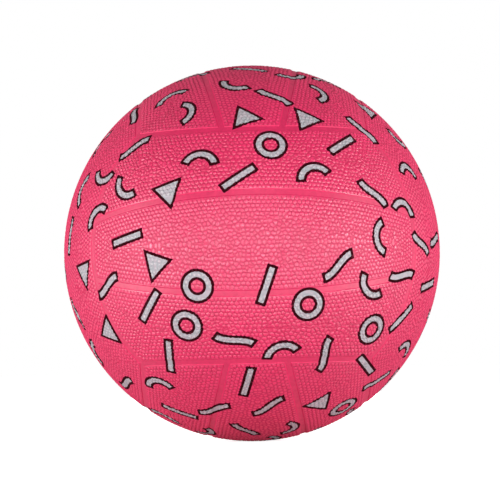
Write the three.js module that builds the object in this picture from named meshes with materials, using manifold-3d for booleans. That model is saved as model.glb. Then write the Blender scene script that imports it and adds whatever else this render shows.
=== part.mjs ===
// Pimpled rubber ball with a cover of eighteen strips: six groups of three, each group turned a
// quarter turn against its four neighbours. The strips lie in the pockets of a ribbed rubber
// lining over a thread winding and an air-tight bladder, and a self-closing valve passes through
// all of them. Millimetres, +Z up, origin at the centre of the ball. The front group faces -Y and
// the valve points along +Y.

import * as THREE from 'three';
import { mergeVertices } from 'three/addons/utils/BufferGeometryUtils.js';
import Module from 'manifold-3d';

const wasm = await Module();
wasm.setup();

// Ball and its layers, from the outside in
const BALL_DIAMETER = 210;
const PANEL_THICKNESS = 1.1;
const LINING_THICKNESS = 0.6;
const WINDING_THICKNESS = 0.5;
const BLADDER_THICKNESS = 0.7;
const LAYER_CLEARANCE = 0.3;

// Channels between the strips, and the rolled shoulder of each strip
const CHANNEL_WIDTH = 3.4;
const CHANNEL_DEPTH = 0.45;
const SHOULDER_WIDTH = 0.9;
const SHOULDER_DROP = 0.25;
const EDGE_CLEARANCE = 0.3;
const INNER_SEAM_TILT = THREE.MathUtils.degToRad(14.4);

// Valve: a flanged housing bonded to the bladder, and the plug that closes round a needle
const COLLAR_DIAMETER = 11;
const COLLAR_CLEARANCE = 0.3;
const VALVE_RECESS = 0.6;
const FLANGE_DIAMETER = 32;
const FLANGE_RIM_THICKNESS = 0.9;
const SLEEVE_DIAMETER = 13;
const SLEEVE_LENGTH = 10;
const PLUG_HEAD_DIAMETER = 8;
const PLUG_HEAD_THICKNESS = 1.6;
const PLUG_STEM_DIAMETER = 5.4;
const PLUG_BULB_DIAMETER = 7.2;
const PLUG_BULB_LENGTH = 3;
const PLUG_CLEARANCE = 0.3;
const NEEDLE_HOLE_DIAMETER = 2.2;
const NEEDLE_HOLE_DEPTH = 7.5;
const NEEDLE_LEAD_IN = 0.7;
const SLIT_WIDTH = 3.2;
const SLIT_GAP = 0.35;
const CUT_PAST = 1;

// Facets: cells across an outer strip and a middle strip, and sides of the round valve pieces
const OUTER_STRIP_CELLS = 3;
const MIDDLE_STRIP_CELLS = 4;
const ROUND_SIDES = 20;

// Radii of the layers
const coverRadius = BALL_DIAMETER / 2;
const shoulderRadius = coverRadius - SHOULDER_DROP;
const panelBackRadius = coverRadius - PANEL_THICKNESS;
const ribRadius = coverRadius - CHANNEL_DEPTH;
const pocketRadius = panelBackRadius - LAYER_CLEARANCE;
const liningInnerRadius = pocketRadius - LINING_THICKNESS;
const windingRadius = liningInnerRadius - LAYER_CLEARANCE;
const windingInnerRadius = windingRadius - WINDING_THICKNESS;
const bladderRadius = windingInnerRadius - LAYER_CLEARANCE;
const bladderInnerRadius = bladderRadius - BLADDER_THICKNESS;

// The eight corners where three groups meet lie on a cube, so the long outer seams of every group
// are small circles in planes at this share of the radius.
const cornerPlane = 1 / Math.sqrt(3);
const cornerAngle = Math.asin(cornerPlane);
const innerSlope = Math.tan(INNER_SEAM_TILT);

// Each group has an outward axis, an axis along its strips and one across them, right-handed.
const X = new THREE.Vector3(1, 0, 0);
const Y = new THREE.Vector3(0, 1, 0);
const Z = new THREE.Vector3(0, 0, 1);
const back = (axis) => axis.clone().negate();
const groups = [
  { name: 'front', out: back(Y), along: X, across: Z, strips: ['lower', 'middle', 'upper'] },
  { name: 'back', out: Y, along: back(X), across: Z, strips: ['lower', 'middle', 'upper'] },
  { name: 'right', out: X, along: Z, across: back(Y), strips: ['rear', 'middle', 'front'] },
  { name: 'left', out: back(X), along: Z, across: Y, strips: ['front', 'middle', 'rear'] },
  { name: 'top', out: Z, along: Y, across: back(X), strips: ['right', 'middle', 'left'] },
  { name: 'bottom', out: back(Z), along: Y, across: X, strips: ['left', 'middle', 'right'] },
];
const strips = groups.flatMap((group) =>
  group.strips.map((name, index) => ({ group, side: index - 1, name: `${group.name}_${name}_panel` })));
const valvePanel = 'back_middle_panel';

// Both long edges of a strip lie in planes across = offset + slope * out, on the unit sphere.
// Each edge is drawn back from its seam line by an arc, the inset.
function edgePlanes(side, inset) {
  const outer = { offset: Math.sin(cornerAngle - inset), slope: 0 };
  const shift = Math.sin(inset) / Math.cos(INNER_SEAM_TILT);
  if (side === 0) {
    return [{ offset: shift, slope: -innerSlope }, { offset: -shift, slope: innerSlope }];
  }
  const inner = { offset: shift, slope: innerSlope };
  if (side > 0) return [inner, outer];
  return [{ offset: -outer.offset, slope: 0 }, { offset: -inner.offset, slope: -inner.slope }];
}

// Places along a strip, from -1 to 1. They meet the three strip ends beyond the long outer seam,
// so facets match across every seam.
const cellsAlong = 2 * OUTER_STRIP_CELLS + MIDDLE_STRIP_CELLS;
const seamRadius = Math.sqrt(1 - cornerPlane ** 2);
const halfSeamAngle = Math.asin(cornerPlane / seamRadius);

function placeAlong(index) {
  const junction = innerSlope * cornerPlane;
  let reach = junction * ((2 * (index - OUTER_STRIP_CELLS)) / MIDDLE_STRIP_CELLS - 1);
  if (index < OUTER_STRIP_CELLS) {
    reach = -cornerPlane + ((cornerPlane - junction) * index) / OUTER_STRIP_CELLS;
  } else if (index > OUTER_STRIP_CELLS + MIDDLE_STRIP_CELLS) {
    reach = cornerPlane - ((cornerPlane - junction) * (cellsAlong - index)) / OUTER_STRIP_CELLS;
  }
  return Math.asin(reach / seamRadius) / halfSeamAngle;
}

const cellsAcross = (strip) => (strip.side === 0 ? MIDDLE_STRIP_CELLS : OUTER_STRIP_CELLS);

// Unit direction at a node of a strip's grid: the plane between the two long edges is cut with the
// sphere, and the arc is walked between the end seams.
function direction(strip, i, j, inset) {
  const [low, high] = edgePlanes(strip.side, inset);
  const share = j / cellsAcross(strip);
  const offset = THREE.MathUtils.lerp(low.offset, high.offset, share);
  const slope = THREE.MathUtils.lerp(low.slope, high.slope, share);
  const stretch = Math.hypot(1, slope);
  const height = offset / stretch;
  const arcRadius = Math.sqrt(1 - height ** 2);
  const endPlane = Math.sin(cornerAngle + inset);
  const halfArc = Math.acos((endPlane * stretch + slope * height) / arcRadius);
  const angle = halfArc * placeAlong(i);
  const out = (arcRadius * Math.cos(angle) - slope * height) / stretch;
  const across = (height + slope * arcRadius * Math.cos(angle)) / stretch;
  return new THREE.Vector3()
    .addScaledVector(strip.group.along, arcRadius * Math.sin(angle))
    .addScaledVector(strip.group.out, out)
    .addScaledVector(strip.group.across, across);
}

// Surface under construction. Points that fall on the same place share one vertex.
class Surface {
  constructor() {
    this.positions = [];
    this.indices = [];
    this.known = new Map();
  }

  vertex(strip, i, j, { inset, radius }) {
    const point = direction(strip, i, j, inset / coverRadius).multiplyScalar(radius);
    const key = point.toArray().map((value) => value.toFixed(4)).join();
    if (!this.known.has(key)) {
      this.known.set(key, this.positions.length / 3);
      this.positions.push(...point.toArray());
    }
    return this.known.get(key);
  }

  quad(a, b, c, d) {
    this.indices.push(a, b, c, a, c, d);
  }

  // Whole face of a strip at one level, split along the same diagonals whichever way it faces
  face(strip, level, outward) {
    for (let i = 0; i < cellsAlong; i += 1) {
      for (let j = 0; j < cellsAcross(strip); j += 1) {
        const [a, b, c, d] = [[i, j], [i + 1, j], [i + 1, j + 1], [i, j + 1]]
          .map(([u, v]) => this.vertex(strip, u, v, level));
        if (outward) this.quad(a, b, c, d);
        else this.quad(a, d, c, b);
      }
    }
  }

  // Outline of a strip, anticlockwise seen from outside
  outline(strip, level) {
    const across = cellsAcross(strip);
    const nodes = [];
    for (let i = 0; i < cellsAlong; i += 1) nodes.push([i, 0]);
    for (let j = 0; j < across; j += 1) nodes.push([cellsAlong, j]);
    for (let i = cellsAlong; i > 0; i -= 1) nodes.push([i, across]);
    for (let j = across; j > 0; j -= 1) nodes.push([0, j]);
    return nodes.map(([i, j]) => this.vertex(strip, i, j, level));
  }

  // Bands that join the outlines of successive levels
  bands(strip, levels) {
    const outlines = levels.map((level) => this.outline(strip, level));
    for (let n = 1; n < outlines.length; n += 1) {
      const [from, to] = [outlines[n - 1], outlines[n]];
      from.forEach((start, k) => {
        const next = (k + 1) % from.length;
        this.quad(start, from[next], to[next], to[k]);
      });
    }
  }

  geometry() {
    const geometry = new THREE.BufferGeometry();
    geometry.setAttribute('position', new THREE.Float32BufferAttribute(this.positions, 3));
    geometry.setIndex(this.indices);
    return geometry;
  }
}

// Solids to cut and join
function toSolid(source) {
  const geometry = source.clone();
  geometry.deleteAttribute('normal');
  geometry.deleteAttribute('uv');
  const merged = mergeVertices(geometry);
  return new wasm.Manifold(new wasm.Mesh({
    numProp: 3,
    vertProperties: new Float32Array(merged.attributes.position.array),
    triVerts: new Uint32Array(merged.index.array),
  }));
}

function toGeometry(solid) {
  const { vertProperties, triVerts } = solid.getMesh();
  const geometry = new THREE.BufferGeometry();
  geometry.setAttribute('position', new THREE.BufferAttribute(vertProperties, 3));
  geometry.setIndex(new THREE.BufferAttribute(triVerts, 1));
  geometry.computeVertexNormals();
  return geometry;
}

// Profile points are pairs of radius and height, turned about the valve's axis, which is Y.
function turned(profile) {
  const points = profile.map(([radius, height]) => new THREE.Vector2(radius, height));
  return toSolid(new THREE.LatheGeometry(points, ROUND_SIDES));
}

function rod(diameter, low, high) {
  const radius = diameter / 2;
  const cylinder = new THREE.CylinderGeometry(radius, radius, high - low, ROUND_SIDES);
  return toSolid(cylinder.translate(0, (low + high) / 2, 0));
}

// Cover strip: flat-backed shell piece with a rolled shoulder round its outer face
const halfChannel = CHANNEL_WIDTH / 2;

function panelSolid(strip) {
  const surface = new Surface();
  const foot = { inset: halfChannel, radius: panelBackRadius };
  const shoulder = { inset: halfChannel, radius: shoulderRadius };
  const crown = { inset: halfChannel + SHOULDER_WIDTH, radius: coverRadius };
  surface.face(strip, foot, false);
  surface.bands(strip, [foot, shoulder, crown]);
  surface.face(strip, crown, true);
  return toSolid(surface.geometry());
}

// Full sphere in the cover's own facets, so layers that face each other keep an even gap
function sphereSolid(radius) {
  const surface = new Surface();
  strips.forEach((strip) => surface.face(strip, { inset: 0, radius }, true));
  return toSolid(surface.geometry());
}

// Outside of the lining: ribs that fill the foot of each channel, and a pocket for each strip
function ribbedSolid() {
  const surface = new Surface();
  const pocketInset = halfChannel - EDGE_CLEARANCE;
  const seam = { inset: 0, radius: ribRadius };
  const ribEdge = { inset: pocketInset, radius: ribRadius };
  const floor = { inset: pocketInset, radius: pocketRadius };
  strips.forEach((strip) => {
    surface.bands(strip, [seam, ribEdge, floor]);
    surface.face(strip, floor, true);
  });
  return toSolid(surface.geometry());
}

// Valve: heights along its axis
const valveFace = coverRadius - VALVE_RECESS;
const flangeSeat = bladderInnerRadius - LAYER_CLEARANCE;
const flangeRadius = FLANGE_DIAMETER / 2;
const flangeRim = Math.sqrt(flangeSeat ** 2 - flangeRadius ** 2);
const flangeFoot = flangeRim - FLANGE_RIM_THICKNESS;
const sleeveFoot = flangeFoot - SLEEVE_LENGTH;
const headSeat = valveFace - PLUG_HEAD_THICKNESS;
const collarHole = rod(COLLAR_DIAMETER + 2 * COLLAR_CLEARANCE, flangeFoot, coverRadius + CUT_PAST);

// Housing: collar through the cover, flange against the inside of the bladder, sleeve below it
function housingSolid() {
  const flange = rod(FLANGE_DIAMETER, flangeFoot, coverRadius).intersect(sphereSolid(flangeSeat));
  const body = rod(SLEEVE_DIAMETER, sleeveFoot, flangeRim).add(rod(COLLAR_DIAMETER, flangeFoot, valveFace));
  const bore = rod(PLUG_STEM_DIAMETER + 2 * PLUG_CLEARANCE, sleeveFoot - CUT_PAST, valveFace);
  const headRecess = rod(
    PLUG_HEAD_DIAMETER + 2 * PLUG_CLEARANCE,
    headSeat - PLUG_CLEARANCE,
    valveFace + CUT_PAST,
  );
  return flange.add(body).subtract(bore).subtract(headRecess);
}

// Plug: head in the collar, stem through the sleeve and a bulb that snaps out below it. A needle
// goes down its hole and parts the slit at the foot, which air pressure holds shut.
function plugSolid() {
  const stem = PLUG_STEM_DIAMETER / 2;
  const bulb = PLUG_BULB_DIAMETER / 2;
  const hole = NEEDLE_HOLE_DIAMETER / 2;
  const bulbTop = sleeveFoot - PLUG_CLEARANCE;
  const bulbFoot = bulbTop - PLUG_BULB_LENGTH;
  const plug = turned([
    [0, bulbFoot],
    [stem, bulbFoot],
    [bulb, bulbTop - PLUG_BULB_LENGTH / 3],
    [bulb, bulbTop],
    [stem, bulbTop],
    [stem, headSeat],
    [PLUG_HEAD_DIAMETER / 2, headSeat],
    [PLUG_HEAD_DIAMETER / 2, valveFace],
    [hole + NEEDLE_LEAD_IN, valveFace],
    [hole, valveFace - NEEDLE_LEAD_IN],
    [hole, valveFace - NEEDLE_HOLE_DEPTH],
    [0, valveFace - NEEDLE_HOLE_DEPTH],
  ]);
  const slitTop = valveFace - NEEDLE_HOLE_DEPTH + hole;
  const slitFoot = bulbFoot - CUT_PAST;
  const slit = new THREE.BoxGeometry(SLIT_WIDTH, slitTop - slitFoot, SLIT_GAP);
  slit.translate(0, (slitTop + slitFoot) / 2, 0);
  return plug.subtract(toSolid(slit));
}

// Materials
const finish = (color, roughness) => () => new THREE.MeshStandardMaterial({ color, roughness, metalness: 0 });
const coverRubber = finish(0xe8295f, 0.55);
const threadNylon = finish(0xe9e5d8, 0.8);
const bladderButyl = finish(0x1b1b1d, 0.6);
const valveRubber = finish(0x202022, 0.5);

// Assembly
const ball = new THREE.Group();
ball.name = 'ball';

function addPiece(name, solid, material) {
  const mesh = new THREE.Mesh(toGeometry(solid), material());
  mesh.name = name;
  ball.add(mesh);
}

strips.forEach((strip) => {
  const panel = panelSolid(strip);
  addPiece(strip.name, strip.name === valvePanel ? panel.subtract(collarHole) : panel, coverRubber);
});

function layerSolid(outside, insideRadius) {
  return outside.subtract(sphereSolid(insideRadius)).subtract(collarHole);
}

addPiece('ribbed_lining', layerSolid(ribbedSolid(), liningInnerRadius), coverRubber);
addPiece('nylon_winding', layerSolid(sphereSolid(windingRadius), windingInnerRadius), threadNylon);
addPiece('bladder', layerSolid(sphereSolid(bladderRadius), bladderInnerRadius), bladderButyl);
addPiece('valve_housing', housingSolid(), valveRubber);
addPiece('valve_plug', plugSolid(), valveRubber);

export default ball;
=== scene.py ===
import math
import random

import bmesh
import bpy
import numpy as np
from mathutils import Matrix, Vector


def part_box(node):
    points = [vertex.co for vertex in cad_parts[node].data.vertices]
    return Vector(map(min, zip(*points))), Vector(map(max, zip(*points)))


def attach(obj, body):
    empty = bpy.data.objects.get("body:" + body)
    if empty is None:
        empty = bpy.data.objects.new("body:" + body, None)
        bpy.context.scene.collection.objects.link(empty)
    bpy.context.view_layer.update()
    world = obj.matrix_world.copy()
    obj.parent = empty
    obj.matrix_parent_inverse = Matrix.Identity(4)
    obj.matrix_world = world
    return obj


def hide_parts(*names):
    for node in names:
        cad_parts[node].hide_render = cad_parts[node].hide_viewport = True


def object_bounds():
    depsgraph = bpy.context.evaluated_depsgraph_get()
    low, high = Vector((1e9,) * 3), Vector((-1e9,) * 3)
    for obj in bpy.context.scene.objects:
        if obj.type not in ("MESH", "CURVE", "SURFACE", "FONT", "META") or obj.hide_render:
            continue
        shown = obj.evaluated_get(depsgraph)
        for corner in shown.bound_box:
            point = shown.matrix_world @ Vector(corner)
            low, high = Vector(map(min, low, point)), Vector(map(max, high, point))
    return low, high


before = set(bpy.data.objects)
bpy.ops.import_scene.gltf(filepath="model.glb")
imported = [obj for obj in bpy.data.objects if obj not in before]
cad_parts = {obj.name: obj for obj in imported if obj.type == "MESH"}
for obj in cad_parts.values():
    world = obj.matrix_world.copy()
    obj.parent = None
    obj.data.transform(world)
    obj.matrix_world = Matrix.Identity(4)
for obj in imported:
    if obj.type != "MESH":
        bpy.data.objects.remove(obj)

cad_low, cad_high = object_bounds()


# Layout of the cover. Eighteen moulded rubber strips lie in six groups of three, each group turned a
# quarter turn against its neighbours. Every seam is the cut of a plane with the ball: the long outer
# seams and the strip ends lie in the planes of a cube, and the inner seams are tilted great circles.
ball_radius = cad_high.x
seam_tilt = math.radians(14.4)
corner_plane = 1 / math.sqrt(3)
corner_angle = math.asin(corner_plane)
right, rear, up = np.eye(3)
groups = {
    "front": (-rear, right, up, ("lower", "middle", "upper")),
    "back": (rear, -right, up, ("lower", "middle", "upper")),
    "right": (right, up, -rear, ("rear", "middle", "front")),
    "left": (-right, up, rear, ("front", "middle", "rear")),
    "top": (up, rear, -right, ("right", "middle", "left")),
    "bottom": (-up, rear, right, ("left", "middle", "right")),
}


class Strip:
    """One strip of the cover, which can tell where any place on its face lies."""

    def __init__(self, group, side):
        self.out, self.along, self.across, names = groups[group]
        self.name = f"{group}_{names[side + 1]}"
        self.side = side

    def edge_planes(self, inset):
        """Offset and slope of the planes of both long edges, drawn back from the seams by an angle."""
        outer = math.sin(corner_angle - inset)
        shift = math.sin(inset) / math.cos(seam_tilt)
        slope = math.tan(seam_tilt)
        low = (-outer, 0), (shift, -slope), (shift, slope)
        high = (-shift, -slope), (-shift, slope), (outer, 0)
        return np.array(low[self.side + 1]), np.array(high[self.side + 1])

    def surface(self, places, shares, inset, radius):
        """Points at places along the strip, from -1 to 1, and shares across it, from 0 to 1."""
        low, high = self.edge_planes(inset / ball_radius)
        offset, slope = (low + (high - low) * np.asarray(shares)[..., None]).T
        offset, slope = offset.T, slope.T
        stretch = np.hypot(1, slope)
        height = offset / stretch
        arc_radius = np.sqrt(1 - height**2)
        end_plane = math.sin(corner_angle + inset / ball_radius)
        angle = np.asarray(places) * np.arccos((end_plane * stretch + slope * height) / arc_radius)
        along = arc_radius * np.sin(angle)
        out = (arc_radius * np.cos(angle) - slope * height) / stretch
        across = (height + slope * arc_radius * np.cos(angle)) / stretch
        axes = np.array((self.along, self.out, self.across))
        return radius * np.stack((along, out, across), -1) @ axes

    def rows(self, points):
        """Where points lie in the rows that follow the strip's edges: how far from the nearest seam,
        how far along it, and how much farther the next nearest seam is."""
        unit = points / np.linalg.norm(points, axis=-1, keepdims=True)
        out, along, across = unit @ self.out, unit @ self.along, unit @ self.across
        distances = [np.arcsin(out) - corner_angle]
        places = [np.arctan2(across, np.abs(along)) * math.cos(corner_angle)]
        for sign, (offset, slope) in zip((1, -1), self.edge_planes(0)):
            stretch = math.hypot(1, slope)
            height, latitude = (across - slope * out) / stretch, math.asin(offset / stretch)
            distances.append(sign * (np.arcsin(height) - latitude))
            places.append(np.arctan2(along, (out + slope * across) / stretch) * math.cos(latitude))
        order = np.argsort(distances, axis=0)
        distances = ball_radius * np.take_along_axis(np.array(distances), order, 0)
        places = ball_radius * np.take_along_axis(np.array(places), order, 0)
        return distances[0], places[0], distances[1] - distances[0]


strips = [Strip(group, side) for group in groups for side in (-1, 0, 1)]


class Shell:
    """A closed mesh put together from the faces and outlines of strips at several levels. Nodes lie
    at places along a strip, from -1 to 1, and at shares across it, from 0 to 1."""

    def __init__(self):
        self.points, self.faces, self.count = [], [], 0

    def add(self, points):
        """Takes an array of points and gives their numbers, in the same layout."""
        flat = points.reshape(-1, 3)
        self.points.append(flat)
        self.count += len(flat)
        return np.arange(self.count - len(flat), self.count).reshape(points.shape[:-1])

    def grid(self, strip, places, shares, inset, radius, outward=True):
        """The face of a strip in square cells. Returns its outline, anticlockwise from outside."""
        places, shares = np.meshgrid(places, shares, indexing="ij")
        ids = self.add(strip.surface(places, shares, inset, radius))
        quads = np.stack((ids[:-1, :-1], ids[1:, :-1], ids[1:, 1:], ids[:-1, 1:]), -1).reshape(-1, 4)
        self.faces += (quads if outward else quads[:, ::-1]).tolist()
        return np.concatenate((ids[:-1, 0], ids[-1, :-1], ids[:0:-1, -1], ids[0, :0:-1]))

    def outline(self, strip, places, shares, inset, radius):
        """A closed row of nodes round a strip, anticlockwise from outside."""
        ends = np.ones(len(shares) - 1)
        sides = np.ones(len(places) - 1)
        along = np.concatenate((places[:-1], ends, places[:0:-1], -ends))
        across = np.concatenate((0 * sides, shares[:-1], sides, shares[:0:-1]))
        return self.add(strip.surface(along, across, inset, radius))

    def band(self, outer, inner):
        """Faces between two outlines, the first of which lies nearer the seam."""
        quads = np.stack((outer, np.roll(outer, -1), np.roll(inner, -1), inner), -1)
        self.faces += quads.tolist()

    def coarsen(self, fine, coarse, outward):
        """Faces that join a fine outline to a coarse one inside it."""
        step = len(fine) // len(coarse)
        for k, corner in enumerate(coarse):
            row = [fine[n % len(fine)] for n in range(k * step, (k + 1) * step + 1)]
            face = [*row, coarse[(k + 1) % len(coarse)], corner]
            self.faces.append([int(n) for n in (face if outward else face[::-1])])

    def mesh(self, name):
        """The finished mesh, with points on one place joined."""
        points = np.concatenate(self.points)
        rounded = points.round(8) + 0.0
        _, first, same = np.unique(rounded, axis=0, return_index=True, return_inverse=True)
        same = same.ravel()
        mesh = bpy.data.meshes.new(name)
        mesh.from_pydata(points[first].tolist(), [], [same[face].tolist() for face in self.faces])
        mesh.validate()
        return mesh


# Print of the cover: silver shapes with a dark outline, scattered at random all over the ball, with
# the middle of the front and the place of the valve left bare. Each shape is a point that carries its
# own axis and kind: 0 is a bar, 1 an arc, 2 a wave, 3 a triangle and 4 a ring.
print_seed = 11
print_tries = 20000
print_spacing = 0.0226
print_kinds = (0, 0, 1, 1, 1, 2, 2, 2, 3, 3, 4)
bare_centre = Vector((0.001, -1, 0.06)).normalized()
bare_width, bare_height = 0.112, 0.052
bare_valve = Vector((0, 1, 0))
bare_valve_radius = 0.016
half_stroke = 0.0025
bar_reach = 0.0106
bow_radius, bow_half_angle = 0.0086, math.radians(72)
bow_shift = 0.6 * bow_radius
wave_reach, wave_height = 0.0095, 0.0045
triangle_inner_radius, triangle_slant = 0.0050, math.radians(60)
ring_radius = 0.0062


def add_object(name, data):
    thing = bpy.data.objects.new(name, data)
    bpy.context.scene.collection.objects.link(thing)
    return thing


def any_direction(dice):
    return Vector([dice.gauss(0, 1) for _ in range(3)]).normalized()


def is_bare(spot):
    """Whether a place on the ball lies where nothing is printed."""
    away = spot - bare_centre
    off_middle = math.hypot(away.x / bare_width, away.z / bare_height) * 2 * ball_radius
    off_valve = (spot - bare_valve).length * ball_radius
    return (spot.y < 0 and off_middle < 1) or off_valve < bare_valve_radius


def print_points():
    """A mesh of single points on the ball, none nearer to another than the spacing."""
    dice = random.Random(print_seed)
    places, axes, kinds = [], [], []
    for _ in range(print_tries):
        spot = any_direction(dice)
        if is_bare(spot) or any((spot - other).length * ball_radius < print_spacing for other in places):
            continue
        places.append(spot)
        turn = Matrix.Rotation(dice.uniform(0, math.tau), 3, spot)
        axes.append(turn @ spot.orthogonal().normalized())
        kinds.append(dice.choice(print_kinds))
    mesh = bpy.data.meshes.new("print_points")
    mesh.from_pydata([place * ball_radius for place in places], [], [])
    mesh.attributes.new("print_axis", "FLOAT_VECTOR", "POINT").data.foreach_set("vector", np.ravel(axes))
    mesh.attributes.new("print_kind", "INT", "POINT").data.foreach_set("value", kinds)
    return add_object("print_points", mesh)


def feed(tree, value, socket):
    """Gives a socket of a tree a formula, or a plain number, vector or colour."""
    if isinstance(value, Formula):
        tree.links.new(value.socket, socket)
    elif socket.type == "RGBA":
        socket.default_value = (*value, 1)
    else:
        socket.default_value = value


class Formula:
    """A value in a node tree. Numbers and vectors are written into sums like any others."""

    def __init__(self, tree, socket):
        self.tree, self.socket = tree, socket

    def node(self, kind, operation, others, output=0):
        node = self.tree.nodes.new(kind)
        node.operation = operation
        for place, value in zip(node.inputs, (self, *others)):
            feed(self.tree, value, place)
        return Formula(self.tree, node.outputs[output])

    def math(self, operation, *others):
        return self.node("ShaderNodeMath", operation, others)

    def vector(self, operation, *others, output="Vector"):
        return self.node("ShaderNodeVectorMath", operation, others, output)

    def dot(self, other):
        return self.vector("DOT_PRODUCT", other, output="Value")

    def scaled(self, factor):
        """This vector times a number."""
        product = self.vector("SCALE")
        feed(self.tree, factor, product.socket.node.inputs["Scale"])
        return product

    def parts(self):
        """X, Y and Z of this vector."""
        node = self.tree.nodes.new("ShaderNodeSeparateXYZ")
        feed(self.tree, self, node.inputs[0])
        return [Formula(self.tree, output) for output in node.outputs]

    def __add__(self, other):
        return self.math("ADD", other)

    def __sub__(self, other):
        return self.math("SUBTRACT", other)

    def __mul__(self, other):
        return self.math("MULTIPLY", other)

    def __truediv__(self, other):
        return self.math("DIVIDE", other)

    def abs(self):
        return self.math("ABSOLUTE")

    def max(self, other):
        return self.math("MAXIMUM", other)

    def min(self, other):
        return self.math("MINIMUM", other)

    def ramp(self, low, high):
        """0 at low and before it, 1 at high and past it, and smooth between."""
        node = self.tree.nodes.new("ShaderNodeMapRange")
        node.interpolation_type = "SMOOTHSTEP"
        for place, value in zip(node.inputs, (self, low, high)):
            feed(self.tree, value, place)
        return Formula(self.tree, node.outputs[0])


def length(a, b):
    return (a * a + b * b).math("SQRT")


def stored(tree, kind, name):
    """What the points of a mesh carry under a name."""
    node = tree.nodes.new("GeometryNodeInputNamedAttribute")
    node.data_type = kind
    node.inputs["Name"].default_value = name
    return Formula(tree, node.outputs["Attribute"])


def printed_distance(tree, unit, source, radius):
    """How far a place on the ball lies outside the nearest printed shape, negative inside it."""
    info = tree.nodes.new("GeometryNodeObjectInfo")
    feed(tree, source, info.inputs["Object"])
    nearest = tree.nodes.new("GeometryNodeSampleNearest")
    tree.links.new(info.outputs["Geometry"], nearest.inputs["Geometry"])
    feed(tree, unit.scaled(radius), nearest.inputs["Sample Position"])

    def sampled(kind, value):
        pick = tree.nodes.new("GeometryNodeSampleIndex")
        pick.data_type = kind
        tree.links.new(info.outputs["Geometry"], pick.inputs["Geometry"])
        tree.links.new(nearest.outputs["Index"], pick.inputs["Index"])
        feed(tree, value, pick.inputs["Value"])
        return Formula(tree, pick.outputs["Value"])

    axis = sampled("FLOAT_VECTOR", stored(tree, "FLOAT_VECTOR", "print_axis"))
    kind = sampled("INT", stored(tree, "INT", "print_kind"))
    place = Formula(tree, tree.nodes.new("GeometryNodeInputPosition").outputs["Position"])
    centre = sampled("FLOAT_VECTOR", place)
    across = centre.vector("NORMALIZE").vector("CROSS_PRODUCT", axis)
    x, y = unit.dot(axis) * radius, unit.dot(across) * radius
    bar = (x.abs() - bar_reach).max(y.abs() - half_stroke)
    bow_x = x + bow_shift
    bow = (length(bow_x, y) - bow_radius).abs() - half_stroke
    past_end = y.abs() * math.cos(bow_half_angle) - bow_x * math.sin(bow_half_angle)
    arc = bow.max(past_end)
    phase = x * (math.pi / 2 / wave_reach)
    steepness = phase.math("COSINE") * (wave_height * math.pi / 2 / wave_reach)
    steepness = (steepness * steepness + 1).math("SQRT")
    wave = ((y - phase.math("SINE") * wave_height) / steepness).abs() - half_stroke
    wave = wave.max(x.abs() - wave_reach)
    slanted = x * math.cos(triangle_slant) + y.abs() * math.sin(triangle_slant)
    triangle = (x * -1).max(slanted) - triangle_inner_radius
    ring = (length(x, y) - ring_radius).abs() - half_stroke
    shape = bar
    for number, other in enumerate((arc, wave, triangle, ring)):
        shape = shape + (other - shape) * kind.math("GREATER_THAN", number + 0.5)
    return shape


# Pimples: flat-topped bumps moulded with each strip's face and packed in staggered rows that follow
# its edges, even beside the seams and less so farther in. One pattern serves twice: the mesh is
# raised by it, and the material adds the parts of the grooves that are finer than the mesh.
pimple_pitch = 0.0023
row_pitch = 0.0021
pimple_height = 0.00037
groove_width = 0.58
border_height = 0.5
border_fade = 0.25
mitre_level = 0.35
even_irregularity, inner_irregularity = 0.25, 0.75
even_depth, inner_depth = 0.004, 0.014


def new_tree(name, kind, inputs, outputs):
    """A node group with named inputs and outputs, and its inputs as formulas."""
    tree = bpy.data.node_groups.new(name, kind)
    for title, socket_type in inputs:
        tree.interface.new_socket(title, in_out="INPUT", socket_type=socket_type)
    for title, socket_type in outputs:
        tree.interface.new_socket(title, in_out="OUTPUT", socket_type=socket_type)
    source = tree.nodes.new("NodeGroupInput")
    return tree, {title: Formula(tree, source.outputs[title]) for title, _ in inputs}


def place_group(tree, kind, group, values):
    """Places a node group in a tree with values for its inputs, and gives its outputs."""
    node = tree.nodes.new(kind)
    node.node_tree = group
    for title, value in values.items():
        feed(tree, value, node.inputs[title])
    return [Formula(tree, output) for output in node.outputs]


def chances(tree, row, column):
    """Two numbers from 0 to 1 that belong to one pimple."""
    where = tree.nodes.new("ShaderNodeCombineXYZ")
    feed(tree, row, where.inputs["X"])
    feed(tree, column, where.inputs["Y"])
    dice = tree.nodes.new("ShaderNodeTexWhiteNoise")
    dice.noise_dimensions = "2D"
    tree.links.new(where.outputs["Vector"], dice.inputs["Vector"])
    return Formula(tree, dice.outputs["Color"]).parts()[:2]


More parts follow.
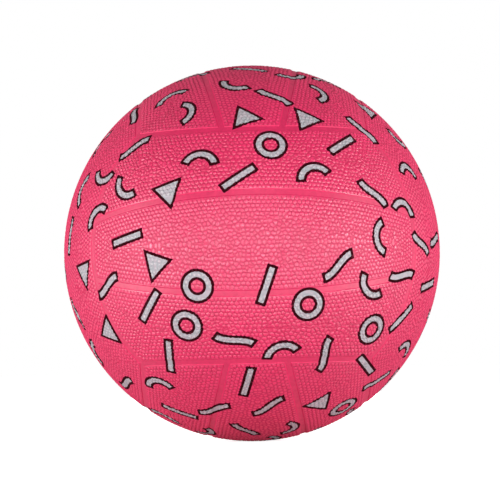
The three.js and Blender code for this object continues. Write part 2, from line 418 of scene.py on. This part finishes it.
def pimple_rows(kind):
    """A node group, for a mesh or a material, that gives how high a place stands: 0 at the foot of
    the grooves, 1 on the tops of the pimples and between them on a strip's smooth border."""
    titles = ("Edge Distance", "Edge Place", "Edge Gap", "Pitch", "Row Pitch", "Groove Width")
    tree, given = new_tree(
        "pimple_rows",
        kind,
        [(title, "NodeSocketFloat") for title in titles],
        [("Height", "NodeSocketFloat")],
    )
    distance, place, gap, pitch, row_pitch, groove = (given[title] for title in titles)
    spread = distance.ramp(even_depth, inner_depth) * (inner_irregularity - even_irregularity)
    spread = spread + even_irregularity
    level = distance / row_pitch
    row = level.math("FLOOR")
    nearest = second = None
    for row_step in (-1, 0, 1):
        this_row = row + row_step
        along = place / pitch + this_row * 0.5
        for column_step in (0, 1):
            column = along.math("FLOOR") + column_step
            sideways, upwards = chances(tree, this_row, column)
            x = along - column + (sideways - 0.5) * spread
            y = (level - this_row - 0.5 + (upwards - 0.5) * spread) * (row_pitch / pitch)
            away = length(x, y)
            if nearest is None:
                nearest = away
            elif second is None:
                second, nearest = nearest.max(away), nearest.min(away)
            else:
                second, nearest = second.min(nearest.max(away)), nearest.min(away)
    pattern = (second - nearest).min(gap / pitch + mitre_level).ramp(0, groove)
    height = (pattern - border_height) * distance.ramp(0, row_pitch * border_fade) + border_height
    result = tree.nodes.new("NodeGroupOutput")
    feed(tree, height, result.inputs["Height"])
    return tree


def keep(tree, geometry, name, value):
    """Stores a number on every point and gives the geometry that carries it."""
    store = tree.nodes.new("GeometryNodeStoreNamedAttribute")
    store.data_type, store.domain = "FLOAT", "POINT"
    store.inputs["Name"].default_value = name
    tree.links.new(geometry, store.inputs["Geometry"])
    feed(tree, value, store.inputs["Value"])
    return store.outputs["Geometry"]


def cover_tree():
    """Raises the pimples on a strip and works out where the print lies on it."""
    tree, given = new_tree(
        "pimpled_rubber",
        "GeometryNodeTree",
        [
            ("Geometry", "NodeSocketGeometry"),
            ("Ball Radius", "NodeSocketFloat"),
            ("Pitch", "NodeSocketFloat"),
            ("Row Pitch", "NodeSocketFloat"),
            ("Groove Width", "NodeSocketFloat"),
            ("Height", "NodeSocketFloat"),
            ("Print", "NodeSocketObject"),
            ("Finish", "NodeSocketMaterial"),
        ],
        [("Geometry", "NodeSocketGeometry")],
    )
    place = Formula(tree, tree.nodes.new("GeometryNodeInputPosition").outputs["Position"])
    unit = place.vector("NORMALIZE")
    [raised] = place_group(tree, "GeometryNodeGroup", pimple_rows("GeometryNodeTree"), {
        "Edge Distance": stored(tree, "FLOAT", "edge_distance"),
        "Edge Place": stored(tree, "FLOAT", "edge_place"),
        "Edge Gap": stored(tree, "FLOAT", "edge_gap"),
        "Pitch": given["Pitch"],
        "Row Pitch": given["Row Pitch"],
        "Groove Width": given["Groove Width"],
    })
    lift = tree.nodes.new("GeometryNodeSetPosition")
    feed(tree, given["Geometry"], lift.inputs["Geometry"])
    feed(tree, unit.scaled((raised - border_height) * given["Height"]), lift.inputs["Offset"])
    geometry = keep(tree, lift.outputs["Geometry"], "pimple", raised)
    distance = printed_distance(tree, unit, given["Print"], given["Ball Radius"])
    geometry = keep(tree, geometry, "print_distance", distance)
    realize = tree.nodes.new("GeometryNodeRealizeInstances")
    tree.links.new(geometry, realize.inputs["Geometry"])
    finish = tree.nodes.new("GeometryNodeSetMaterial")
    tree.links.new(realize.outputs["Geometry"], finish.inputs["Geometry"])
    feed(tree, given["Finish"], finish.inputs["Material"])
    result = tree.nodes.new("NodeGroupOutput")
    tree.links.new(finish.outputs["Geometry"], result.inputs["Geometry"])
    return tree


# Rubber of the cover and of the channel floors: moulded, pink all through, and glossier on the tops
# of the pimples than in the grooves. Its colour is paler on the tops, a painted highlight, and deeper in
# the grooves and on the channel floors, a painted shade. The ink is printed on top, a dull dark line
# round a silver fill; the line is thin on the pimples' tops, and the silver there has painted highlights.
# The deep colour also serves as painted shade in the grooves, and the pale one as painted highlight on the
# tops.
rubber_deep_shaded, rubber_pale_lit = (0.62, 0.004, 0.079), (0.89, 0.009, 0.130)
line_dark, line_thin = (0.030, 0.000, 0.003), (0.13, 0.008, 0.025)
silver_grey, silver_pink, silver_highlight = (0.39, 0.39, 0.42), (0.49, 0.41, 0.46), (0.61, 0.55, 0.57)
line_outside, line_inside, ink_softness = 0.0004, -0.0011, 0.0001
# Distances from the border that stand for a strip's walls and for the floors of the channels.
wall_mark, floor_mark, mark_softness = -0.0020, -0.0030, 0.0002
border_softness, shoulder_start = 0.0003, -0.0008
mitre_fade = 0.0004, 0.0008
rubber_roughness, rubber_shine, rubber_ior = 0.38, 0.5, 2.0


def noise(tree, place, scale, detail=2):
    node = tree.nodes.new("ShaderNodeTexNoise")
    node.inputs["Detail"].default_value = detail
    feed(tree, scale, node.inputs["Scale"])
    feed(tree, place, node.inputs["Vector"])
    return Formula(tree, node.outputs["Fac"])


def grain_tree():
    """A node group that gives the broad clouding and the fine grain of moulded rubber."""
    tree, given = new_tree(
        "rubber_grain",
        "ShaderNodeTree",
        [
            ("Place", "NodeSocketVector"),
            ("Cloud Scale", "NodeSocketFloat"),
            ("Grain Scale", "NodeSocketFloat"),
        ],
        [("Cloud", "NodeSocketFloat"), ("Grain", "NodeSocketFloat")],
    )
    result = tree.nodes.new("NodeGroupOutput")
    for title, detail in (("Cloud", 3), ("Grain", 2)):
        feed(tree, noise(tree, given["Place"], given[f"{title} Scale"], detail), result.inputs[title])
    return tree


rubber_grain = grain_tree()


def grained(tree, place, cloud_scale, grain_scale):
    """The clouding and the grain of a rubber, with a scale for each."""
    values = {"Place": place, "Cloud Scale": cloud_scale, "Grain Scale": grain_scale}
    return place_group(tree, "ShaderNodeGroup", rubber_grain, values)


def blend_colours(tree, share, first, second):
    """Colour that goes from first to second as share goes from 0 to 1."""
    node = tree.nodes.new("ShaderNodeMix")
    node.data_type = "RGBA"
    feed(tree, share, node.inputs["Factor"])
    feed(tree, first, node.inputs["A"])
    feed(tree, second, node.inputs["B"])
    return Formula(tree, node.outputs["Result"])


def new_material(name):
    """A material with its tree, shader and object coordinates."""
    material = bpy.data.materials.new(name)
    material.use_nodes = True
    tree = material.node_tree
    here = Formula(tree, tree.nodes.new("ShaderNodeTexCoord").outputs["Object"])
    return material, tree, tree.nodes["Principled BSDF"], here


def attribute(tree, name):
    node = tree.nodes.new("ShaderNodeAttribute")
    node.attribute_name = name
    return Formula(tree, node.outputs["Fac"])


def add_bump(tree, shader, height, distance):
    bump = tree.nodes.new("ShaderNodeBump")
    bump.inputs["Distance"].default_value = distance
    bump.inputs["Strength"].default_value = 1
    feed(tree, height, bump.inputs["Height"])
    tree.links.new(bump.outputs["Normal"], shader.inputs["Normal"])


def swing(value, amount):
    """A noise that varies about zero by an amount."""
    return (value - 0.5) * amount


def lessened(mask, share):
    """A factor that is 1 outside a mask and falls by a share inside it."""
    return mask * -share + 1


def in_groove(height):
    """1 at the foot of a groove and 0 on the tops."""
    return height.ramp(0.8, 0.1)


def within(distance, border):
    """1 where a distance from the print lies inside a border of the ink, and 0 outside it."""
    return distance.ramp(border + ink_softness, border - ink_softness)


def pink_rubber():
    material, tree, shader, here = new_material("pink_rubber")
    edge_distance = attribute(tree, "edge_distance")
    edge_gap = attribute(tree, "edge_gap")
    [pimple] = place_group(tree, "ShaderNodeGroup", pimple_rows("ShaderNodeTree"), {
        "Edge Distance": edge_distance,
        "Edge Place": attribute(tree, "edge_place"),
        "Edge Gap": edge_gap,
        "Pitch": pimple_pitch,
        "Row Pitch": row_pitch,
        "Groove Width": groove_width,
    })
    raised = attribute(tree, "pimple")
    finer = (pimple - raised) * edge_gap.ramp(*mitre_fade)
    pimple = raised + finer
    border = edge_distance.ramp(border_softness, 0)
    floor = edge_distance.ramp(wall_mark - mark_softness, floor_mark + mark_softness)
    shoulder = edge_distance.ramp(shoulder_start, wall_mark + mark_softness) * lessened(floor, 1)

    distance = attribute(tree, "print_distance")
    cloud, grain = grained(tree, here, cloud_scale=60, grain_scale=2600)
    speck, mottle = noise(tree, here, scale=900), noise(tree, here, scale=420)
    # Painted highlight on the pimples' tops and painted shade in the grooves and on the channel floors, over
    # random clouding, mottle and grain.
    painted_light_tone = pimple * 0.8 - floor * 0.12 + swing(cloud, 0.4) + swing(mottle, 0.8) + swing(grain, 0.3)
    rubber = blend_colours(tree, painted_light_tone.max(0).min(1), rubber_deep_shaded, rubber_pale_lit)
    ragged = distance + swing(grain, 0.0004) + (pimple - 0.4) * 0.00015
    ink, fill = within(ragged, line_outside), within(ragged, line_inside)
    outline = blend_colours(tree, (pimple * speck).ramp(0.45, 0.7), line_dark, line_thin)
    silver = blend_colours(tree, mottle.ramp(0.35, 0.65), silver_grey, silver_pink)
    # Painted highlight: the silver is brighter in specks on the pimples' tops.
    silver = blend_colours(tree, (pimple * speck).ramp(0.3, 0.75), silver, silver_highlight)
    inked = blend_colours(tree, fill, outline, silver)
    feed(tree, blend_colours(tree, ink, rubber, inked), shader.inputs["Base Color"])

    facing = tree.nodes.new("ShaderNodeLayerWeight")
    facing.inputs["Blend"].default_value = 0.5
    grazed = Formula(tree, facing.outputs["Facing"]).ramp(0.25, 0.8)
    pit = in_groove(pimple + border)
    roughness = swing(cloud, 0.10) + swing(grain, 0.16) + rubber_roughness + pit * 0.12
    roughness = roughness + grazed * 0.6 + ink * lessened(fill, 1) * 0.5 + shoulder * 0.2
    feed(tree, roughness, shader.inputs["Roughness"])

    # The gloss is masked only by what the mesh carries, and not by the finer grooves.
    hollow = in_groove(raised + border)
    printed = within(distance, line_outside) * -0.9 + within(distance, line_inside) * 0.5 + 1
    shine = (swing(mottle, 0.1) + rubber_shine) * lessened(hollow, 0.35) * lessened(border, 0.1)
    shine = shine * lessened(shoulder, 0.5) * printed
    feed(tree, shine, shader.inputs["Specular IOR Level"])
    shader.inputs["IOR"].default_value = rubber_ior
    add_bump(tree, shader, finer + grain * 0.04, pimple_height)
    return material


# Cover strips: each is 1.1 mm of rubber sheet with a smooth border, a rounded shoulder that runs down
# into the channel and a plain back, laid in its pocket of the lining and moulded there. The middle
# strip of the back has the hole for the valve.
strip_thickness = 0.0011
channel_half_width = 0.0016
channel_depth = 0.00032
shoulder_width = 0.0004
shoulder_steps = 4
smooth_margin = 0.0020
panel_back = cad_high.x - strip_thickness
crown_radius = ball_radius - pimple_height * (1 - border_height)
channel_radius = crown_radius - channel_depth
shoulder_inner = channel_half_width + shoulder_width / 2
shoulder_outer = channel_half_width - shoulder_width / 2
strip_cells, outer_strip_cells, middle_strip_cells, finer_cells = 40, 8, 10, 10
valve_hole_radius = 0.0058
valve_ring_radius = 0.0085
row_start_step = 0.5
crease_angle = math.radians(60)


def strip_piece(strip):
    """One strip as a closed mesh with a smooth face."""
    cross_cells = outer_strip_cells if strip.side else middle_strip_cells
    cells = strip_cells * finer_cells, cross_cells * finer_cells
    fine = np.linspace(-1, 1, cells[0] + 1), np.linspace(0, 1, cells[1] + 1)
    coarse = np.linspace(-1, 1, strip_cells + 1), np.linspace(0, 1, cross_cells + 1)
    shell = Shell()
    inner = shell.grid(strip, *fine, shoulder_inner, crown_radius)
    for step in range(1, shoulder_steps + 1):
        share = step / shoulder_steps
        drop = channel_depth * (1 - math.cos(math.pi * share)) / 2
        outer = shell.outline(strip, *fine, shoulder_inner - shoulder_width * share, crown_radius - drop)
        shell.band(outer, inner)
        inner = outer
    foot = shell.outline(strip, *fine, shoulder_outer, panel_back)
    shell.band(foot, inner)
    back = shell.grid(strip, *coarse, shoulder_inner, panel_back, outward=False)
    shell.coarsen(foot, back, outward=False)
    return shell.mesh(strip.name)


def mark_points(mesh, name, values):
    """Writes one number on every point of a mesh, under a name."""
    mesh.attributes.new(name, "FLOAT", "POINT").data.foreach_set("value", values)


def mark_rows(mesh, strip):
    """Keeps on every point of a strip's face where it lies in the rows of pimples. Each strip starts
    its count elsewhere, so that no two have the same irregularities."""
    points = np.empty(3 * len(mesh.vertices))
    mesh.vertices.foreach_get("co", points)
    points = points.reshape(-1, 3)
    distance, place, gap = strip.rows(points)
    distance -= smooth_margin
    place += row_start_step * strips.index(strip)
    gap = np.minimum(gap, np.linalg.norm(points - (0, ball_radius, 0), axis=1) - valve_ring_radius)
    on_face = np.linalg.norm(points, axis=1) > crown_radius - 1e-6
    mark_points(mesh, "edge_distance", np.where(on_face, distance, wall_mark))
    mark_points(mesh, "edge_place", place)
    mark_points(mesh, "edge_gap", gap)


def apply_tree(piece, tree, values):
    """Runs a geometry tree on a piece with the values of its inputs, and leaves a plain mesh."""
    modifier = piece.modifiers.new(tree.name, "NODES")
    modifier.node_group = tree
    for item in tree.interface.items_tree:
        if item.in_out == "INPUT" and item.name in values:
            modifier[item.identifier] = values[item.name]
    settle(piece)


def settle(piece):
    """Turns what a piece's modifiers make into its own mesh."""
    graph = bpy.context.evaluated_depsgraph_get()
    mesh = bpy.data.meshes.new_from_object(piece.evaluated_get(graph))
    piece.modifiers.clear()
    old, piece.data = piece.data, mesh
    bpy.data.meshes.remove(old)
    mesh.shade_smooth()
    mesh.set_sharp_from_angle(angle=crease_angle)


def cut_valve_hole(piece):
    """Drills the valve's hole through a layer, along Y."""
    sides, drill_foot, drill_top = 96, 0.09, 0.12
    turns = [math.tau * n / sides for n in range(sides)]
    circle = [(valve_hole_radius * math.sin(t), valve_hole_radius * math.cos(t)) for t in turns]
    points = [(x, y, z) for y in (drill_foot, drill_top) for x, z in circle]
    wall = [(n, (n + 1) % sides, (n + 1) % sides + sides, n + sides) for n in range(sides)]
    ends = [tuple(range(sides))[::-1], tuple(range(sides, 2 * sides))]
    drill = bpy.data.meshes.new("drill")
    drill.from_pydata(points, [], wall + ends)
    cutter = add_object("drill", drill)
    modifier = piece.modifiers.new("valve_hole", "BOOLEAN")
    modifier.operation, modifier.solver, modifier.object = "DIFFERENCE", "EXACT", cutter
    settle(piece)
    bpy.data.objects.remove(cutter)


def finish_piece(piece, node):
    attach(piece, "root")
    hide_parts(node)


cover_values = {
    "Ball Radius": ball_radius,
    "Pitch": pimple_pitch,
    "Row Pitch": row_pitch,
    "Groove Width": groove_width,
    "Height": pimple_height,
    "Print": print_points(),
    "Finish": pink_rubber(),
}
pimples = cover_tree()
for strip in strips:
    piece = add_object(f"{strip.name}_strip", strip_piece(strip))
    if strip.name == "back_middle":
        cut_valve_hole(piece)
    mark_rows(piece.data, strip)
    apply_tree(piece, pimples, cover_values)
    finish_piece(piece, f"{strip.name}_panel")


# Lining: one hollow ball of the same rubber, moulded under the strips. Its ribs are the channel
# floors between them, and its pockets hold their backs.
rib_overlap = 0.0001
lining_thickness = 0.0006
pocket_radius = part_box("ribbed_lining")[1].x
rib_cells = 6


def lining_nodes(strip, scale):
    """Nodes of a strip's outline that meet those of the three strip ends beside it, so that the
    lining has no open seam."""
    outer_cells, middle_cells = 13 * scale, 10 * scale
    junction = math.tan(seam_tilt) * corner_plane
    ends = np.linspace(-corner_plane, -junction, outer_cells, endpoint=False)
    middle = np.linspace(-junction, junction, middle_cells + 1)
    reach = np.concatenate((ends, middle, -ends[::-1]))
    places = np.arcsin(reach / math.sqrt(1 - corner_plane**2)) / (math.pi / 4)
    return places, np.linspace(0, 1, (outer_cells if strip.side else middle_cells) + 1)


def lining_mesh():
    shell = Shell()
    for strip in strips:
        fine, coarse = lining_nodes(strip, rib_cells), lining_nodes(strip, 1)
        outer = shell.outline(strip, *fine, 0, channel_radius)
        for share in (0.5, 1):
            inset = (shoulder_outer + rib_overlap) * share
            inner = shell.outline(strip, *fine, inset, channel_radius)
            shell.band(outer, inner)
            outer = inner
        floor = shell.grid(strip, *coarse, shoulder_inner, pocket_radius)
        shell.coarsen(outer, floor, outward=True)
        shell.grid(strip, *coarse, 0, pocket_radius - lining_thickness, outward=False)
    return shell.mesh("moulded_lining")


lining = add_object("moulded_lining", lining_mesh())
cut_valve_hole(lining)
mark_points(lining.data, "edge_distance", np.full(len(lining.data.vertices), floor_mark))
apply_tree(lining, pimples, {**cover_values, "Height": 0.0})
finish_piece(lining, "ribbed_lining")
bpy.data.objects.remove(cover_values["Print"])


# Winding: nylon thread wound in every direction over the bladder and set in latex. It holds the
# ball round and at its size.
winding_thickness = 0.0005
thread_seed, thread_directions, thread_spacing, thread_relief = 3, 9, 0.0021, 0.0003
latex_shade, thread_light = (0.42, 0.38, 0.28), (0.80, 0.77, 0.68)


def wound_thread():
    material, tree, shader, here = new_material("wound_thread")
    dice = random.Random(thread_seed)
    crossing = None
    for turn in range(thread_directions):
        turns = here.dot(any_direction(dice)) * (1 / thread_spacing) + noise(tree, here, 14, 1) * 5
        strand = (turns.math("FRACT") - 0.5).abs() * -4 + 0.8 + noise(tree, here, 40 + 9 * turn, 0) * 1.6
        crossing = strand if crossing is None else crossing.max(strand)
    height = crossing.ramp(0, 2)
    feed(tree, blend_colours(tree, height, latex_shade, thread_light), shader.inputs["Base Color"])
    feed(tree, height * -0.25 + 0.8, shader.inputs["Roughness"])
    add_bump(tree, shader, height, thread_relief)
    return material


def layer_mesh(name, outer_radius, inner_radius):
    """A hollow ball."""
    shell = Shell()
    for strip in strips:
        nodes = lining_nodes(strip, 2)
        shell.grid(strip, *nodes, 0, outer_radius)
        shell.grid(strip, *nodes, 0, inner_radius, outward=False)
    return shell.mesh(name)


def add_layer(name, outer_radius, thickness, material):
    layer = add_object(name, layer_mesh(name, outer_radius, outer_radius - thickness))
    layer.data.materials.append(material)
    cut_valve_hole(layer)
    return layer


winding_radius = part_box("nylon_winding")[1].x
winding = add_layer("thread_winding", winding_radius, winding_thickness, wound_thread())
finish_piece(winding, "nylon_winding")


# Bladder: the air-tight ball of black butyl rubber inside the winding, smooth with a little bloom.
# The air in it carries the whole ball.
bladder_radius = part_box("bladder")[1].x
bladder_thickness = 0.0007
butyl_black, butyl_bloom = (0.012, 0.012, 0.013), (0.035, 0.034, 0.036)
rubber_relief = 0.00003


def butyl():
    material, tree, shader, here = new_material("bladder_butyl")
    cloud, grain = grained(tree, here, cloud_scale=45, grain_scale=1800)
    colour = blend_colours(tree, cloud.ramp(0.4, 0.75), butyl_black, butyl_bloom)
    feed(tree, colour, shader.inputs["Base Color"])
    feed(tree, cloud * 0.2 + grain * 0.15 + 0.35, shader.inputs["Roughness"])
    add_bump(tree, shader, grain, rubber_relief)
    return material


bladder = add_layer("air_bladder", bladder_radius, bladder_thickness, butyl())
finish_piece(bladder, "bladder")


# Valve: a black rubber housing vulcanised to the bladder, whose collar fills the hole in the cover,
# and a plug pressed into it. An inflating needle goes down the plug's hole and parts the slit below.
valve_black, valve_grey = (0.006, 0.006, 0.007), (0.020, 0.019, 0.021)
clearance = 0.0003
rounding, rounding_steps, rounding_angle = 0.00022, 3, math.radians(35)
housing_low, housing_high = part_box("valve_housing")
plug_low, plug_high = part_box("valve_plug")
valve_face, sleeve_foot = housing_high.y, housing_low.y
flange_radius, flange_edge, dome_steps = housing_high.x, 0.0009, 12
collar_radius, sleeve_radius, bore_radius = 0.0055, 0.0065, 0.0030
head_radius, stem_radius, head_seat = 0.0040, 0.0027, valve_face - 0.0016
needle_radius, needle_depth, lead_in = 0.0011, 0.0075, 0.0007
bulb_radius, bulb_foot, bulb_top, bulb_edge = plug_high.x, plug_low.y, sleeve_foot - clearance, 0.001


def valve_rubber():
    material, tree, shader, here = new_material("valve_rubber")
    cloud, grain = grained(tree, here, cloud_scale=300, grain_scale=4200)
    colour = blend_colours(tree, cloud.ramp(0.35, 0.75), valve_black, valve_grey)
    feed(tree, colour, shader.inputs["Base Color"])
    feed(tree, cloud * 0.25 + grain * 0.2 + 0.38, shader.inputs["Roughness"])
    shader.inputs["Specular IOR Level"].default_value = 0.25
    add_bump(tree, shader, grain, rubber_relief)
    return material


def turned_piece(name, profile, material, sides=72):
    """A solid turned about Y from a closed profile of radius and height, with its edges rounded."""
    mesh = bpy.data.meshes.new(name)
    solid = bmesh.new()
    rings = []
    for radius, height in profile:
        turns = [math.tau * n / sides for n in range(sides if radius else 1)]
        rings.append([solid.verts.new((radius * math.sin(t), height, radius * math.cos(t))) for t in turns])
    for ring, other in zip(rings, rings[1:] + rings[:1]):
        for n in range(sides):
            first, last = (ring[n % len(ring)], other[n % len(other)])
            after = (ring[(n + 1) % len(ring)], other[(n + 1) % len(other)])
            corners = list(dict.fromkeys((first, *after, last)))
            if len(corners) > 2:
                solid.faces.new(corners)
    bmesh.ops.recalc_face_normals(solid, faces=solid.faces)
    solid.to_mesh(mesh)
    solid.free()
    mesh.materials.append(material)
    piece = add_object(name, mesh)
    bevel = piece.modifiers.new("round_edges", "BEVEL")
    bevel.width, bevel.segments = rounding, rounding_steps
    bevel.limit_method, bevel.angle_limit = "ANGLE", rounding_angle
    settle(piece)
    return piece


black_rubber = valve_rubber()
flange_seat = bladder_radius - bladder_thickness - clearance
flange_foot = math.sqrt(flange_seat**2 - flange_radius**2) - flange_edge
dome_radii = np.linspace(flange_radius, collar_radius, dome_steps + 1).tolist()
housing = turned_piece("valve_collar_and_flange", [
    (bore_radius, sleeve_foot),
    (sleeve_radius, sleeve_foot),
    (sleeve_radius, flange_foot),
    (flange_radius, flange_foot),
    *((r, math.sqrt(flange_seat**2 - r**2)) for r in dome_radii),
    (collar_radius, valve_face),
    (head_radius + clearance, valve_face),
    (head_radius + clearance, head_seat - clearance),
    (bore_radius, head_seat - clearance),
], black_rubber)
finish_piece(housing, "valve_housing")

plug = turned_piece("valve_needle_plug", [
    (0, bulb_foot),
    (stem_radius, bulb_foot),
    (bulb_radius, bulb_top - bulb_edge),
    (bulb_radius, bulb_top),
    (stem_radius, bulb_top),
    (stem_radius, head_seat),
    (head_radius, head_seat),
    (head_radius, valve_face),
    (needle_radius + lead_in, valve_face),
    (needle_radius, valve_face - lead_in),
    (needle_radius, valve_face - needle_depth),
    (0, valve_face - needle_depth),
], black_rubber)
finish_piece(plug, "valve_plug")


# Studio: a white floor and white walls under a dim ceiling, and four broad soft lamps round the ball
# near its own height, which leave its top and bottom a little darker than its middle. Gloss meets
# white only behind the ball and away from its foot, so that the rubber's sheen comes from the lamps;
# near the foot, the floor's glow as gloss sees it fades as a painted shadow of the ball.
ambient = 0.2
wall_top, ceiling_start = 0.25, 0.40
behind_start, behind_full = -0.2, 0.3
glow_start, glow_full, floor_glow = 0.12, 0.45, 0.84
floor_reach = 8.0


def ray_masks(tree):
    """1 for rays from the camera, for rays off gloss and for rays through clear pieces."""
    path = tree.nodes.new("ShaderNodeLightPath")
    return [Formula(tree, path.outputs[f"Is {ray} Ray"]) for ray in ("Camera", "Glossy", "Transmission")]


def white_studio():
    world = bpy.data.worlds.new("studio")
    bpy.context.scene.world = world
    world.use_nodes = True
    tree = world.node_tree
    seen, glossy, through = ray_masks(tree)
    _, rearward, upward = Formula(tree, tree.nodes.new("ShaderNodeTexCoord").outputs["Generated"]).parts()
    direct = seen.max(through).max(glossy * rearward.ramp(behind_start, behind_full))
    wall = upward.ramp(ceiling_start, wall_top)
    background = tree.nodes["Background"]
    background.inputs["Color"].default_value = (1, 1, 1, 1)
    feed(tree, direct * wall * (1 - ambient) + ambient, background.inputs["Strength"])


def floor_material():
    material, tree, shader, here = new_material("studio_floor")
    shader.inputs["Base Color"].default_value = (0.9, 0.9, 0.9, 1)
    shader.inputs["Roughness"].default_value = 0.9
    shader.inputs["Specular IOR Level"].default_value = 0.0
    seen, glossy, through = ray_masks(tree)
    x, y, _ = here.parts()
    # Seen in gloss, the floor's glow fades near the ball's foot: a painted shadow of the ball.
    direct = seen.max(through).max(glossy * length(x, y).ramp(glow_start, glow_full))
    shader.inputs["Emission Color"].default_value = (1, 1, 1, 1)
    feed(tree, direct * floor_glow, shader.inputs["Emission Strength"])
    return material


floor_mesh = bpy.data.meshes.new("floor")
corners = [(x * floor_reach, y * floor_reach, cad_low.z) for x, y in ((-1, -1), (1, -1), (1, 1), (-1, 1))]
floor_mesh.from_pydata(corners, [], [(0, 1, 2, 3)])
floor_mesh.materials.append(floor_material())
add_object("floor", floor_mesh)
white_studio()


def soft_lamp(name, azimuth, elevation, distance, size, power):
    """A rectangular area lamp that faces the ball."""
    lamp = bpy.data.lights.new(name, "AREA")
    lamp.shape = "RECTANGLE"
    lamp.size, lamp.size_y = size
    lamp.energy = power
    holder = add_object(name, lamp)
    a, e = math.radians(azimuth), math.radians(elevation)
    holder.location = distance * Vector((math.sin(a) * math.cos(e), -math.cos(a) * math.cos(e), math.sin(e)))
    holder.rotation_euler = holder.location.to_track_quat("Z", "Y").to_euler()


soft_lamp("left_lamp", azimuth=-64, elevation=3.5, distance=1.3, size=(0.5, 0.35), power=8.8)
soft_lamp("right_lamp", azimuth=62, elevation=3.5, distance=1.3, size=(0.5, 0.35), power=8.8)
soft_lamp("front_lamp", azimuth=0, elevation=5, distance=1.5, size=(0.9, 0.4), power=10.2)
soft_lamp("rear_lamp", azimuth=180, elevation=12, distance=1.5, size=(0.9, 0.6), power=12.0)


# Camera: in front of the ball and a little below its middle, between ten and eleven radii away, with
# the ball as large and as high in the frame as in the photograph.
frame_pixels = 500
ball_radius_pixels = 187.94
centre_pixel = Vector((251.96, 253.30))
sensor_width = 36
distance_in_radii = 10.58
backward = Vector((-0.0178, -0.9983, -0.0548)).normalized()
view_up = Vector((0.022, -0.055, 0.998))
camera = bpy.data.cameras.new("camera")
camera.sensor_width = sensor_width
camera.lens = ball_radius_pixels * math.sqrt(distance_in_radii**2 - 1) / frame_pixels * sensor_width
camera.shift_x = (frame_pixels / 2 - centre_pixel.x) / frame_pixels
camera.shift_y = (centre_pixel.y - frame_pixels / 2) / frame_pixels
camera_holder = add_object("camera", camera)
sideways = view_up.cross(backward).normalized()
turned = Matrix((sideways, backward.cross(sideways), backward)).transposed().to_4x4()
camera_holder.matrix_world = Matrix.Translation(backward * distance_in_radii * ball_radius) @ turned
bpy.context.scene.camera = camera_holder
bpy.context.scene.view_settings.view_transform = "Standard"
